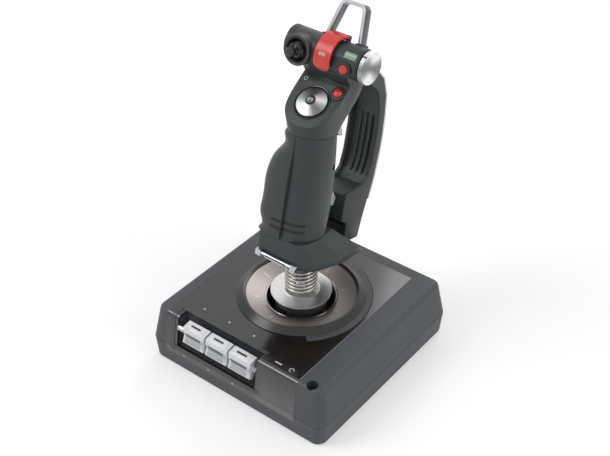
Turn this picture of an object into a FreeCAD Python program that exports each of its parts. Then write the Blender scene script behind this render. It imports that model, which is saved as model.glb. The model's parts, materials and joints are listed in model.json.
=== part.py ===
import FreeCAD, Part

import math
import os

import Sketcher

# Flight joystick.  Row frame: millimetres, +Z up, -Y towards the user, +X to the user's right.
# The origin is the centre of the base where it stands on the table.
# The handle leans forward, so its pieces are drawn in a leaning frame of their own
# (x right, y forward, z up along the handle) and are placed by HANDLE_FRAME.

doc = FreeCAD.newDocument("flight_joystick")

DIMENSIONS = {
    # base housing
    "base_width": 172.0,
    "base_depth": 174.0,
    "base_height": 51.3,
    "foot_height": 1.5,
    "foot_radius": 8.0,
    "foot_inset_x": 18.0,
    "foot_inset_y": 34.0,
    "parting_height": 19.6,
    "top_draft": 8.6,
    "bottom_draft": 3.8,
    "corner_radius": 8.0,
    "top_edge_radius": 4.6,
    "wall": 2.5,
    "roof": 4.5,
    "floor": 3.0,
    "inner_margin": 8.0,
    "fit_gap": 0.3,
    "running_gap": 0.05,
    # inset plate that folds over the front edge
    "plate_thickness": 2.0,
    "plate_left": 70.0,
    "plate_right": 60.0,
    "plate_back": 70.0,
    "plate_lip_bottom": 13.5,
    # toggle bay in the front edge
    "bay_left": 58.0,
    "bay_right": 22.0,
    "bay_back": 73.0,
    "bay_bottom": 24.0,
    "toggle_pitch": 23.3,
    "toggle_width": 21.5,
    "toggle_first": -38.0,
    "toggle_axis_y": -82.0,
    "toggle_axis_z": 40.5,
    "toggle_shaft_radius": 2.5,
    # corner screw holes through the base
    "corner_hole_radius": 2.25,
    "corner_hole_x": 70.5,
    "corner_hole_y": 77.0,
    "counterbore_radius": 4.6,
    # ring, dish and gimbal, all round the stick's pivot
    "bezel_outer": 52.4,
    "bezel_inner": 44.4,
    "bezel_rise": 4.2,
    "dish_rise": 2.6,
    "dish_drop": 1.9,
    "dish_hole": 27.9,
    "pivot_height": 44.0,
    "housing_wall": 3.0,
    "gimbal_outer": 21.0,
    "gimbal_inner": 16.0,
    "gimbal_half": 3.0,
    "pin_radius": 2.0,
    "hub_radius": 12.0,
    "hub_half": 8.0,
    # shaft, collar and spring
    "shaft_radius": 5.0,
    "shaft_top": 127.0,
    "collar_radius": 24.7,
    "collar_bottom": 54.0,
    "spring_radius": 12.2,
    "spring_wire": 2.1,
    "spring_turns": 8.0,
    "spring_bottom": 58.2,
    "spring_top": 89.4,
    # handle
    "handle_height": 95.0,
    "handle_lean": 13.5,
    "foot_plate": 5.0,
    "skirt_top": 20.0,
    "grip_top": 104.0,
    "grip_width": 18.3,
    "grip_depth": 22.5,
    "neck_width": 16.8,
    "neck_depth": 22.8,
    "neck_front": 15.0,
    "grip_centre": -9.0,
    "grip_wall": 2.6,
    "rest_width": 27.0,
    "rest_depth": 25.0,
    "guard_width": 29.0,
    "guard_web": 3.5,
    "guard_wall": 3.0,
    "strip_width": 29.0,
    "strip_thickness": 2.0,
    "bush_radius": 9.0,
    "bush_top": 121.0,
    # head
    "barrel_radius": 12.3,
    "barrel_y": -1.6,
    "barrel_z": 161.0,
    "barrel_left": 35.3,
    "barrel_right": 29.3,
    "head_width": 42.0,
    "head_floor": 104.3,
    "knob_radius": 12.5,
    "knob_thickness": 5.3,
    "cover_width": 13.0,
    "cover_thickness": 1.6,
    "loop_foot_spacing": 27.0,
    "loop_depth": 8.0,
    "loop_strip": 2.6,
    "loop_rise": 27.0,
    "button_radius": 3.4,
    "button_collar": 5.6,
    "hat_radius": 12.2,
    "hat_ring": 11.5,
    "rocker_outer": 6.0,
    "rocker_bore": 3.5,
    "rocker_half": 1.5,
    "stem_radius": 3.0,
}

sheet = doc.addObject("Spreadsheet::Sheet", "Size")
for row, (alias, value) in enumerate(DIMENSIONS.items(), start=1):
    sheet.set(f"A{row}", alias)
    sheet.set(f"B{row}", str(value))
    sheet.setAlias(f"B{row}", alias)
doc.recompute()

SUB_PARTS = []


def size(alias):
    """A driving dimension, read back from the sheet."""
    return float(sheet.get(alias))


def vector(x, y, z):
    return FreeCAD.Vector(x, y, z)


def turn(x, y, z, angle):
    return FreeCAD.Rotation(vector(x, y, z), angle)


HANDLE_FRAME = FreeCAD.Placement(vector(0, 0, size("handle_height")), turn(1, 0, 0, -size("handle_lean")))
ALONG_X = turn(0, 1, 0, 90)
ALONG_Y = turn(1, 0, 0, -90)
UPRIGHT = FreeCAD.Rotation()


def keep(label, piece, placement=None):
    """Names a finished sub-part and puts it in its place."""
    if piece.TypeId in ("Part::Box", "Part::Cylinder"):
        piece = group(label + "_piece", piece)
    piece.Label = label
    if placement is not None:
        piece.Placement = placement
    SUB_PARTS.append(piece)
    return piece


def bind(piece, **expressions):
    for name, expression in expressions.items():
        piece.setExpression(name.replace("__", "."), expression)


def place(piece, at, rotation):
    piece.Placement = FreeCAD.Placement(vector(0, 0, 0), rotation)
    for axis, expression in zip("xyz", at):
        piece.setExpression(f"Placement.Base.{axis}", str(expression))


def box(name, low, high):
    """A box between two corners, each given as three expressions."""
    piece = doc.addObject("Part::Box", name)
    for side, start, end in zip(("Length", "Width", "Height"), low, high):
        piece.setExpression(side, f"({end}) - ({start})")
    place(piece, low, UPRIGHT)
    return piece


def cylinder(name, radius, height, at, rotation=UPRIGHT):
    piece = doc.addObject("Part::Cylinder", name)
    bind(piece, Radius=str(radius), Height=str(height))
    place(piece, at, rotation)
    return piece


def fuse(name, *shapes):
    piece = doc.addObject("Part::MultiFuse", name)
    piece.Shapes = list(shapes)
    return piece


def cut(name, base, *tools):
    piece = doc.addObject("Part::Cut", name)
    piece.Base = base
    piece.Tool = tools[0] if len(tools) == 1 else fuse(name + "_tools", *tools)
    return piece


def common(name, *shapes):
    piece = doc.addObject("Part::MultiCommon", name)
    piece.Shapes = list(shapes)
    return piece


def group(name, *shapes):
    piece = doc.addObject("Part::Compound", name)
    piece.Links = list(shapes)
    return piece


def plane_of(body, role):
    return [feature for feature in body.Origin.OriginFeatures if feature.Role == role][0]


def outline(body, role, points):
    """A closed sketch of straight sides, each corner held by two bound distances."""
    sketch = body.newObject("Sketcher::SketchObject", body.Name + "_outline")
    sketch.AttachmentSupport = [(plane_of(body, role), "")]
    sketch.MapMode = "FlatFace"
    count = len(points)
    around = [math.tau * index / count for index in range(count)]
    start = [vector(30 * math.cos(angle), 30 * math.sin(angle), 0) for angle in around]
    for index in range(count):
        sketch.addGeometry(Part.LineSegment(start[index], start[(index + 1) % count]))
    for index in range(count):
        sketch.addConstraint(Sketcher.Constraint("Coincident", index, 2, (index + 1) % count, 1))
    for index, (across, up) in enumerate(points):
        for kind, first, value in (("DistanceX", start[index].x, across), ("DistanceY", start[index].y, up)):
            number = sketch.addConstraint(Sketcher.Constraint(kind, -1, 1, index, 1, first))
            sketch.setExpression(f"Constraints[{number}]", str(value))
    return sketch


def turned(name, points):
    """A piece turned about its own Z axis from a half profile of (radius, height) corners."""
    body = doc.addObject("PartDesign::Body", name)
    sketch = outline(body, "XZ_Plane", points)
    revolution = body.newObject("PartDesign::Revolution", name + "_turn")
    revolution.Profile = sketch
    revolution.ReferenceAxis = (sketch, ["V_Axis"])
    revolution.Angle = 360
    return body


def pressed(name, role, points, thickness):
    """A flat piece of even thickness, centred on the plane its outline is drawn on."""
    body = doc.addObject("PartDesign::Body", name)
    sketch = outline(body, role, points)
    pad = body.newObject("PartDesign::Pad", name + "_pad")
    pad.Profile = sketch
    pad.Midplane = True
    pad.setExpression("Length", str(thickness))
    return body


def edges_along_z(shape):
    names = []
    for index, edge in enumerate(shape.Edges, start=1):
        direction = (edge.Vertexes[-1].Point - edge.Vertexes[0].Point).normalize()
        if abs(direction.z) > 0.8:
            names.append(f"Edge{index}")
    return names


def edges_at_top(shape):
    top = max(vertex.Z for vertex in shape.Vertexes)
    level = [all(vertex.Z > top - 0.01 for vertex in edge.Vertexes) for edge in shape.Edges]
    return [f"Edge{index}" for index, at_top in enumerate(level, start=1) if at_top]


def block(name, width, depth, bottom, height, draft, corner, down=False, rim=None):
    """A rounded rectangular block with drafted sides, grown up or down from its level."""
    body = doc.addObject("PartDesign::Body", name)
    across = f"({width}) / 2"
    along = f"({depth}) / 2"
    corners = [(f"-{across}", f"-{along}"), (across, f"-{along}"), (across, along), (f"-{across}", along)]
    sketch = outline(body, "XY_Plane", corners)
    sketch.setExpression("AttachmentOffset.Base.z", str(bottom))
    pad = body.newObject("PartDesign::Pad", name + "_pad")
    pad.Profile = sketch
    pad.Reversed = down
    pad.setExpression("Length", str(height))
    pad.setExpression("TaperAngle", f"-({draft})")
    doc.recompute()
    fillet = body.newObject("PartDesign::Fillet", name + "_corners")
    fillet.Base = (pad, edges_along_z(pad.Shape))
    fillet.setExpression("Radius", str(corner))
    if rim is not None:
        doc.recompute()
        rounding = body.newObject("PartDesign::Fillet", name + "_rim")
        rounding.Base = (fillet, edges_at_top(fillet.Shape))
        rounding.setExpression("Radius", rim)
    return body


def smooth_section(height, points):
    """A closed smooth wire through points of the leaning frame."""
    curve = Part.BSplineCurve()
    curve.interpolate([vector(x, y, height) for x, y in points], PeriodicFlag=True)
    return Part.Wire(curve.toShape())


def rounded_outline(left, right, back, front, square, centre, others=2.3, steps=24):
    """Points round a section of superellipse quadrants; `square` is the left user-side one's squareness."""
    points = []
    for step in range(steps):
        angle = math.tau * step / steps
        across = math.cos(angle)
        along = math.sin(angle)
        power = 2 / (square if across < 0 and along < 0 else others)
        x = math.copysign(abs(across) ** power, across) * (left if across < 0 else right)
        y = math.copysign(abs(along) ** power, along) * (back if along < 0 else front)
        points.append((x, centre + y))
    return points


def feature(name, shape):
    piece = doc.addObject("Part::Feature", name)
    piece.Shape = shape
    return piece


# ---------------------------------------------------------------- base housing
UPPER_HEIGHT = "Size.base_height - Size.parting_height"
LOWER_HEIGHT = "Size.parting_height - Size.foot_height"


def base_form(name, inset):
    """The outside of the base, or the same form set in by an even amount."""
    width = f"Size.base_width - 2 * ({inset})"
    depth = f"Size.base_depth - 2 * ({inset})"
    corner = f"Size.corner_radius - ({inset})"
    level = "Size.parting_height"
    upper = block(name + "_upper", width, depth, level, f"{UPPER_HEIGHT} - ({inset})",
                  "Size.top_draft", corner, rim=f"Size.top_edge_radius - ({inset})")
    lower = block(name + "_lower", width, depth, level, f"{LOWER_HEIGHT} - ({inset})",
                  "Size.bottom_draft", corner, down=True)
    return upper, lower


outer_upper, outer_lower = base_form("form", "0")
skin_upper, skin_lower = base_form("skin", "Size.plate_thickness")

plate_zone = box("plate_zone",
                 ("-Size.plate_left", "-Size.base_depth", "Size.plate_lip_bottom"),
                 ("Size.plate_right", "Size.plate_back", "Size.base_height + 1"))
plate_gap_zone = box("plate_gap_zone",
                     ("-Size.plate_left - Size.running_gap", "-Size.base_depth",
                      "Size.plate_lip_bottom - Size.running_gap"),
                     ("Size.plate_right + Size.running_gap", "Size.plate_back + Size.running_gap",
                      "Size.base_height + 1"))
well = cylinder("well", "Size.bezel_outer - 1.5", "Size.base_height", ("0", "0", "Size.parting_height"))
bay = box("bay",
          ("-Size.bay_left", "-Size.base_depth", "Size.bay_bottom"),
          ("Size.bay_right", "-Size.bay_back", "Size.base_height + 1"))

whole_skin = cut("whole_skin", fuse("form_both", outer_upper, outer_lower), fuse("skin_both", skin_upper, skin_lower))
plate_blank = common("plate_blank", whole_skin, plate_zone)
plate_well = cylinder("plate_well", "Size.bezel_outer - 1.5", "Size.base_height",
                      ("0", "0", "Size.parting_height"))
keep("inset_plate", cut("inset_plate_solid", plate_blank, plate_well, bay))

plate_pocket = common("plate_pocket", whole_skin, plate_gap_zone)

interior = box("interior",
               ("-Size.base_width / 2 + Size.inner_margin", "-Size.base_depth / 2 + Size.inner_margin",
                "Size.foot_height + Size.floor"),
               ("Size.base_width / 2 - Size.inner_margin", "Size.base_depth / 2 - Size.inner_margin",
                "Size.base_height - Size.roof"))
bay_walls = box("bay_walls",
                ("-Size.bay_left - Size.wall", "-Size.base_depth", "Size.bay_bottom - Size.wall"),
                ("Size.bay_right + Size.wall", "-Size.bay_back + Size.wall", "Size.base_height + 1"))
BOSS_HEIGHT = "Size.base_height - Size.foot_height"
HOLE_PLACES = (("Size.corner_hole_x", "-Size.corner_hole_y"), ("-Size.corner_hole_x", "Size.corner_hole_y"))


def posts(name, radius, low, high):
    """One upright cylinder at each corner screw hole."""
    return [cylinder(f"{name}_{index}", radius, f"({high}) - ({low})", (x, y, low))
            for index, (x, y) in enumerate(HOLE_PLACES)]


boss_zone = fuse("boss_zone", *posts("boss", "Size.counterbore_radius + 2", "Size.foot_height", "Size.base_height"))
hollow = cut("hollow", interior, bay_walls, boss_zone)
mount_holes = fuse("mount_holes", *posts("mount_hole", "Size.corner_hole_radius", "0", "Size.base_height + 1"))
counterbores = fuse("counterbores", *posts("counterbore", "Size.counterbore_radius",
                                           "Size.base_height - 8", "Size.base_height + 1"))
gland_hole = cylinder("gland_hole", "5 + Size.running_gap", "12", ("0", "Size.base_depth / 2 - 11", "32"), ALONG_Y)
keep("base_shell", cut("base_shell_solid", outer_upper, plate_pocket, hollow, well, bay, mount_holes, counterbores,
                       gland_hole))

BOARD_POSTS = ((-38, 46), (38, 46), (-38, 70), (38, 70))
board_posts = [cylinder(f"board_post_{index}", "3", "7.5", (str(x), str(y), "Size.foot_height + Size.floor"))
               for index, (x, y) in enumerate(BOARD_POSTS)]
pan_blank = cut("pan_blank", outer_lower, plate_pocket, hollow, mount_holes)
keep("base_pan", fuse("base_pan_solid", pan_blank, *board_posts))

FOOT_X = "(Size.base_width / 2 - Size.foot_inset_x)"
FOOT_Y = "(Size.base_depth / 2 - Size.foot_inset_y)"
CORNERS = (("-", "-"), ("", "-"), ("", ""), ("-", ""))
feet = [cylinder(f"foot_{index}", "Size.foot_radius", "Size.foot_height", (across + FOOT_X, along + FOOT_Y, "0"))
        for index, (across, along) in enumerate(CORNERS)]
keep("rubber_feet", group("rubber_feet_group", *feet))

SCREW_X = "66"
SCREW_Y = "40"


def screw(name, x, y, bottom, length):
    """A pan-head screw standing head down."""
    head = cylinder(name + "_head", "3.2", "2", (x, y, bottom))
    shank = cylinder(name + "_shank", "1.5", length, (x, y, f"({bottom}) + 2"))
    return fuse(name, head, shank)


screws = [screw(f"base_screw_{index}", across + SCREW_X, along + SCREW_Y, "Size.foot_height + Size.floor", "10")
          for index, (across, along) in enumerate(CORNERS)]
keep("base_screws", group("base_screws_group", *screws))
keep("ballast_plate", box("ballast_plate_solid", ("-56", "-60", "Size.foot_height + Size.floor"),
                          ("56", "38", "Size.foot_height + Size.floor + 8")))
keep("base_board", box("base_board_solid", ("-45", "42", "Size.foot_height + Size.floor + 7.5"),
                       ("45", "74", "Size.foot_height + Size.floor + 9.1")))
cable_sleeve = cylinder("cable_sleeve", "5", "6.5", ("0", "Size.base_depth / 2 - 7", "32"), ALONG_Y)
cable_bore = cylinder("cable_bore", "2.6", "10", ("0", "Size.base_depth / 2 - 8", "32"), ALONG_Y)
keep("cable_gland", cut("cable_gland_solid", cable_sleeve, cable_bore))

# ---------------------------------------------------------------- toggles in the front edge
def toggle_position(index):
    return f"Size.toggle_first + {index} * Size.toggle_pitch"


TOGGLE_AT = ("Size.toggle_axis_y", "Size.toggle_axis_z")
shaft_rod = cylinder("toggle_rod", "Size.toggle_shaft_radius", "Size.bay_left + Size.bay_right - 0.4",
                     ("-Size.bay_left + 0.2",) + TOGGLE_AT, ALONG_X)
keep("toggle_shaft", shaft_rod)
TOGGLE_SIDE = ((-5.6, 4.5), (-5.0, 9.0), (3.0, 10.0), (4.5, 7.5), (2.0, -6.5), (-4.0, -8.0), (-7.1, -5.5), (-4.6, 0.5))
for index, name in enumerate(("toggle_left", "toggle_middle", "toggle_right")):
    paddle = pressed(name + "_paddle", "YZ_Plane", TOGGLE_SIDE, "Size.toggle_width")
    eye = cylinder(name + "_eye", "Size.toggle_shaft_radius + Size.running_gap", "Size.toggle_width + 2",
                   ("-Size.toggle_width / 2 - 1", "0", "0"), ALONG_X)
    solid = cut(name + "_solid", paddle, eye)
    middle = vector(size("toggle_first") + index * size("toggle_pitch"), size("toggle_axis_y"), size("toggle_axis_z"))
    keep(name, solid, FreeCAD.Placement(middle, UPRIGHT))
switches = [box(f"toggle_switch_{index}",
                (f"{toggle_position(index)} - 6", "-Size.bay_back - 2.2", "Size.bay_bottom"),
                (f"{toggle_position(index)} + 6", "-Size.bay_back", "Size.bay_bottom + 6"))
            for index in range(3)]
keep("toggle_switches", group("toggle_switches_group", *switches))

# ---------------------------------------------------------------- ring, dish and gimbal
TOP = "Size.base_height"
bezel = turned("bezel", (("Size.bezel_inner + Size.fit_gap", f"{TOP} - Size.roof + Size.running_gap"),
                         ("Size.bezel_outer - 1.8", f"{TOP} - Size.roof + Size.running_gap"),
                         ("Size.bezel_outer - 1.8", f"{TOP} + Size.running_gap"),
                         ("Size.bezel_outer", f"{TOP} + Size.running_gap"),
                         ("Size.bezel_outer", f"{TOP} + 0.8"),
                         ("Size.bezel_inner + 2.2", f"{TOP} + Size.bezel_rise"),
                         ("Size.bezel_inner + Size.fit_gap", f"{TOP} + Size.bezel_rise - 0.8")))
keep("bezel_ring", bezel)
dish = turned("dish", (("Size.dish_hole", f"{TOP} - Size.dish_drop - 2.1"),
                       ("Size.bezel_inner", f"{TOP} + Size.dish_rise - 2.3"),
                       ("Size.bezel_inner", f"{TOP} + Size.dish_rise"),
                       ("Size.dish_hole", f"{TOP} - Size.dish_drop")))
keep("dish_disc", dish)
PIVOT = "Size.pivot_height"
housing = turned("housing", (("0", f"{PIVOT} - 17"), ("0", f"{PIVOT} - 19.5"),
                             ("Size.dish_hole + Size.housing_wall", f"{PIVOT} - 19.5"),
                             ("Size.dish_hole + Size.housing_wall", f"{PIVOT} - 0.5"),
                             ("Size.bezel_outer + 4", f"{PIVOT} - 0.5"),
                             ("Size.bezel_outer + 4", f"{TOP} - Size.roof - 0.02"),
                             ("Size.bezel_inner", f"{TOP} - Size.roof - 0.02"),
                             ("Size.bezel_inner", f"{TOP} + Size.dish_rise - 2.35"),
                             ("Size.dish_hole", f"{TOP} - Size.dish_drop - 2.15"),
                             ("Size.dish_hole", f"{PIVOT} - 17")))
sensor_bracket = box("sensor_bracket", ("Size.dish_hole + 1", "-7", f"{PIVOT} - 12"),
                     ("Size.dish_hole + 10", "7", f"{PIVOT} - 8"))
pitch_bore = cylinder("pitch_bore", "Size.pin_radius + Size.running_gap", "80", ("-40", "0", PIVOT), ALONG_X)
pin_relief = cylinder("pin_relief", "4.5", "8", ("Size.dish_hole + Size.housing_wall", "0", PIVOT), ALONG_X)
keep("gimbal_housing", cut("gimbal_housing_solid", fuse("housing_and_bracket", housing, sensor_bracket),
                           pitch_bore, pin_relief))
keep("pitch_sensor", box("pitch_sensor_solid", ("Size.dish_hole + 6.4", "-6", f"{PIVOT} - 8"),
                         ("Size.dish_hole + 8.0", "6", f"{PIVOT} - 0.6")))
PIN_START = "Size.gimbal_inner + 0.6"
pitch_pins = [cylinder("pitch_pin_right", "Size.pin_radius", "Size.dish_hole + 5.5 - Size.gimbal_inner - 0.6",
                       (PIN_START, "0", PIVOT), ALONG_X),
              cylinder("pitch_pin_left", "Size.pin_radius", "Size.dish_hole + 2.5 - Size.gimbal_inner - 0.6",
                       ("-Size.dish_hole - 2.5", "0", PIVOT), ALONG_X)]
keep("pitch_pins", group("pitch_pins_group", *pitch_pins))
gimbal_blank = cut("gimbal_blank",
                   cylinder("gimbal_rim", "Size.gimbal_outer", "2 * Size.gimbal_half",
                            ("0", "0", f"{PIVOT} - Size.gimbal_half")),
                   cylinder("gimbal_eye", "Size.gimbal_inner", "2 * Size.gimbal_half + 2",
                            ("0", "0", f"{PIVOT} - Size.gimbal_half - 1")))
roll_bore = cylinder("roll_bore", "Size.pin_radius + Size.running_gap", "60", ("0", "-30", PIVOT), ALONG_Y)
keep("gimbal_ring", cut("gimbal_ring_solid", gimbal_blank, pitch_bore, roll_bore))
ROLL_LENGTH = "Size.gimbal_outer - 7.4"
roll_pins = [cylinder("roll_pin_back", "Size.pin_radius", ROLL_LENGTH, ("0", "7", PIVOT), ALONG_Y),
             cylinder("roll_pin_front", "Size.pin_radius", ROLL_LENGTH, ("0", "-Size.gimbal_outer + 0.4", PIVOT),
                      ALONG_Y)]
keep("roll_pins", group("roll_pins_group", *roll_pins))

# ---------------------------------------------------------------- stick shaft, collar and spring
shaft_profile = turned("shaft", (("0", f"{PIVOT} - Size.hub_half"), ("Size.hub_radius", f"{PIVOT} - Size.hub_half"),
                                 ("Size.hub_radius", f"{PIVOT} + Size.hub_half"),
                                 ("Size.shaft_radius + 3", f"{PIVOT} + Size.hub_half"),
                                 ("Size.shaft_radius + 3", "Size.collar_bottom - Size.running_gap"),
                                 ("Size.shaft_radius", "Size.collar_bottom - Size.running_gap"),
                                 ("Size.shaft_radius", "Size.bush_top + 0.4"),
                                 ("Size.shaft_radius - 1", "Size.bush_top + 0.4"),
                                 ("Size.shaft_radius - 1", "Size.bush_top + 1.8"),
                                 ("Size.shaft_radius", "Size.bush_top + 1.8"),
                                 ("Size.shaft_radius", "Size.shaft_top"), ("0", "Size.shaft_top")))
keep("stick_shaft", cut("stick_shaft_solid", shaft_profile, roll_bore))
RISE = "Size.collar_bottom"
collar = turned("collar", (("Size.shaft_radius + Size.running_gap", RISE), ("Size.collar_radius - 4", f"{RISE} + 0.4"),
                           ("Size.collar_radius", f"{RISE} + 1"), ("Size.collar_radius", f"{RISE} + 2.2"),
                           ("Size.spring_radius + 3", f"{RISE} + 3.4"), ("Size.spring_radius + 1.6", f"{RISE} + 4"),
                           ("Size.shaft_radius + Size.running_gap", f"{RISE} + 4")))
keep("spring_collar", collar)
spring_height = size("spring_top") - size("spring_bottom") - size("spring_wire")
coil = Part.makeHelix(spring_height / size("spring_turns"), spring_height, size("spring_radius"))
wire_end = Part.Wire(Part.makeCircle(size("spring_wire") / 2, vector(size("spring_radius"), 0, 0), vector(0, 1, 0)))
spring_solid = Part.Wire(coil.Edges).makePipeShell([wire_end], True, True)
spring_base = vector(0, 0, size("spring_bottom") + size("spring_wire") / 2)
keep("centring_spring", feature("centring_spring_solid", spring_solid), FreeCAD.Placement(spring_base, UPRIGHT))
CAP_BOTTOM = "Size.spring_top + 0.2"
cap = turned("cap", (("Size.shaft_radius + Size.running_gap", CAP_BOTTOM), ("Size.spring_radius + 1.6", CAP_BOTTOM),
                     ("Size.spring_radius + 1.6", f"{CAP_BOTTOM} + 1.4"),
                     ("Size.shaft_radius + Size.running_gap", f"{CAP_BOTTOM} + 1.4")))
keep("spring_cap", cap)
clip = cut("clip", cylinder("clip_disc", "Size.shaft_radius + 2.2", "1.2", ("0", "0", "Size.bush_top + 0.5")),
           cylinder("clip_eye", "Size.shaft_radius - 1 + Size.running_gap", "4", ("0", "0", "Size.bush_top - 1")),
           box("clip_gap", ("-2", "0", "Size.bush_top - 1"), ("2", "20", "Size.bush_top + 4")))
keep("shaft_clip", clip)
BUSH_LOW = "Size.spring_top + 1.75"
bush = turned("bush", (("Size.shaft_radius + Size.running_gap", BUSH_LOW), ("Size.bush_radius", BUSH_LOW),
                       ("Size.bush_radius", "Size.bush_top"), ("Size.shaft_radius + Size.running_gap", "Size.bush_top")))
keep("pivot_bush", bush)

# ---------------------------------------------------------------- lower handle, in the leaning frame
FOOT_FRONT = 36.0
FOOT_OUTLINE = ((-19, -31), (19, -31), (28, -21), (33.5, 8), (31, FOOT_FRONT), (-17, FOOT_FRONT), (-21, 20), (-22, -10))
NECK_OUTLINE = ((-20, -31), (14, -31), (19, -24), (19.5, -8), (14, 16), (-14, 16), (-22, 8), (-24, -14))


def upright_in_handle(name, radius, low, high):
    """A cylinder on the vertical stick axis, given in the leaning frame."""
    piece = doc.addObject("Part::Cylinder", name)
    bind(piece, Radius=radius, Height=f"({high}) - ({low})")
    piece.Placement = HANDLE_FRAME.inverse().multiply(FreeCAD.Placement(vector(0, 0, size_of_level(low)), UPRIGHT))
    return piece


def size_of_level(level):
    """Millimetres of a level written as a sheet cell plus or minus a number."""
    alias, sign, extra = (level.split() + ["+", "0"])[:3]
    return size(alias.split(".")[1]) + float(sign + extra)


skirt = doc.addObject("PartDesign::Body", "skirt")
foot_sketch = outline(skirt, "XY_Plane", FOOT_OUTLINE)
foot_pad = skirt.newObject("PartDesign::Pad", "foot_pad")
foot_pad.Profile = foot_sketch
foot_pad.setExpression("Length", "Size.foot_plate")
low_sketch = outline(skirt, "XY_Plane", FOOT_OUTLINE)
low_sketch.setExpression("AttachmentOffset.Base.z", "Size.foot_plate")
high_sketch = outline(skirt, "XY_Plane", NECK_OUTLINE)
high_sketch.setExpression("AttachmentOffset.Base.z", "Size.skirt_top")
skirt_loft = skirt.newObject("PartDesign::AdditiveLoft", "skirt_loft")
skirt_loft.Profile = low_sketch
skirt_loft.Sections = [high_sketch]
skirt_loft.Ruled = True
core = box("core", ("-10", "-22", "Size.skirt_top - 2"), ("10", "3", "Size.skirt_top + 38"))
bush_seat = upright_in_handle("bush_seat", "Size.bush_radius + Size.running_gap", "Size.spring_top - 20", "Size.bush_top + 0")
clip_room = upright_in_handle("clip_room", "Size.bush_radius - 0.6", "Size.bush_top - 1", "Size.shaft_top + 2")
keep("handle_foot", cut("handle_foot_solid", fuse("foot_and_core", skirt, core), bush_seat, clip_room), HANDLE_FRAME)

# side profiles of the hand guard as (forward, up): the outside, the inside with its little finger ledge,
# the channel that faces the fingers and the room under the ledge
GUARD_OUTER = ((57, 0), (59.5, 20), (62, 33), (65, 52), (66, 75), (65.6, 88), (63.8, 104), (60.4, 122), (52.4, 137),
               (41, 145.4), (24, 149.4))
GUARD_INNER = ((24, 137.5), (36, 135), (47, 128), (54, 114), (57.5, 92), (58, 68), (56, 54), (51, 48.5), (28, 46.5),
               (28, 22), (36.4, 18), (36.4, 0))
GUARD_HOLLOW = ((24, 134), (41, 134), (51, 128.5), (58, 118), (61, 104), (62.4, 88), (62.4, 66), (60.5, 54),
                (54, 46), (24, 44))
guard_rail = pressed("guard_rail", "YZ_Plane", GUARD_OUTER + GUARD_INNER, "Size.guard_width")
guard_channel = pressed("guard_channel", "YZ_Plane", GUARD_HOLLOW, "Size.guard_width - 2 * Size.guard_wall")
ledge_room = box("ledge_room", ("-Size.guard_width / 2 + Size.guard_wall", "31", "14"),
                 ("Size.guard_width / 2 - Size.guard_wall", "54", "40"))
keep("hand_guard", cut("hand_guard_solid", guard_rail, guard_channel, ledge_room), HANDLE_FRAME)
STRIP_INNER = GUARD_OUTER[2:10]
STRIP_OUTER = [(f"{y} + Size.strip_thickness", z) for y, z in reversed(STRIP_INNER)]
keep("guard_strip", pressed("guard_strip_band", "YZ_Plane", list(STRIP_INNER) + STRIP_OUTER, "Size.strip_width"),
     HANDLE_FRAME)

# grip shells: each level is (height, half width, depth towards the user, depth forward, squareness),
# where the sizes are shares of the palm rest below and of the neck above
PALM_LEVELS = ((0, 0.963, 0.98, 1.0, 4.5), (12, 0.978, 0.984, 1.0, 4.4), (24, 0.993, 0.992, 1.0, 4.2),
               (36, 1.0, 1.0, 1.0, 4.0), (46, 1.0, 1.0, 0.98, 3.8), (54, 0.963, 0.992, 0.95, 3.4),
               (62, 0.87, 0.968, 0.89, 3.0))
NECK_LEVELS = ((69, 1.15, 1.026, 1.23, 2.5), (76, 1.04, 1.01, 1.12, 2.3), (84, 1.0, 1.0, 1.0, 2.3))
FINGER_LEVELS = ((0, 1.0, 1.0, 1.0), (50, 1.0, 1.0, 0.95), (84, 0.918, 1.0133, 0.6667))
GRIP_GAP = size("fit_gap")


def grip_rows(side):
    """The levels of one shell as (height, half width, depth to the user, depth forward, squareness)."""
    wide = size("grip_width")
    deep = size("grip_depth")
    if side == "right":
        return [(z, wide * a, deep * b, deep * c, 2.3) for z, a, b, c in FINGER_LEVELS]
    rows = [(z, size("rest_width") * a, size("rest_depth") * b, deep * c, n) for z, a, b, c, n in PALM_LEVELS]
    neck = (size("neck_width"), size("neck_depth"), size("neck_front"))
    return rows + [(z, neck[0] * a, neck[1] * b, neck[2] * c, n) for z, a, b, c, n in NECK_LEVELS]


def grip_sections(side, inset):
    """The stacked outlines of one grip shell, on its outside or set in by its wall."""
    bottom = size("skirt_top") + GRIP_GAP
    rows = grip_rows(side)
    rows[-1] = (size("grip_top") - bottom,) + rows[-1][1:]
    wires = []
    for z, width, depth, front, square in rows:
        reach = rounded_outline(width - inset, width - inset, depth - inset, front - inset, square, size("grip_centre"))
        wires.append(smooth_section(bottom + z, reach))
    return wires


def grip_shell(side, sign):
    outer = Part.makeLoft(grip_sections(side, 0), True)
    inner = Part.makeLoft(grip_sections(side, size("grip_wall")), True)
    half = Part.makeBox(60, 120, 120, vector(0.02 if sign > 0 else -60.02, -60, 0))
    return outer.cut(inner).common(half)


# the clamp screw through the right shell: forward and up along the handle
SCREW_SPOT = ("-1", "78")


def shell_openings(side):
    """The finger openings at the front and the screw hole on the right."""
    tools = [box(f"trigger_slot_{side}", ("-5.2", "1", "Size.grip_top - 14"), ("5.2", "20", "Size.grip_top + 1")),
             box(f"pinkie_slot_{side}", ("-4.6", "2", "32"), ("4.6", "20", "60"))]
    if side == "right":
        tools.append(cylinder("screw_recess", "2.2", "20", ("6", *SCREW_SPOT), ALONG_X))
    return tools


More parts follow.
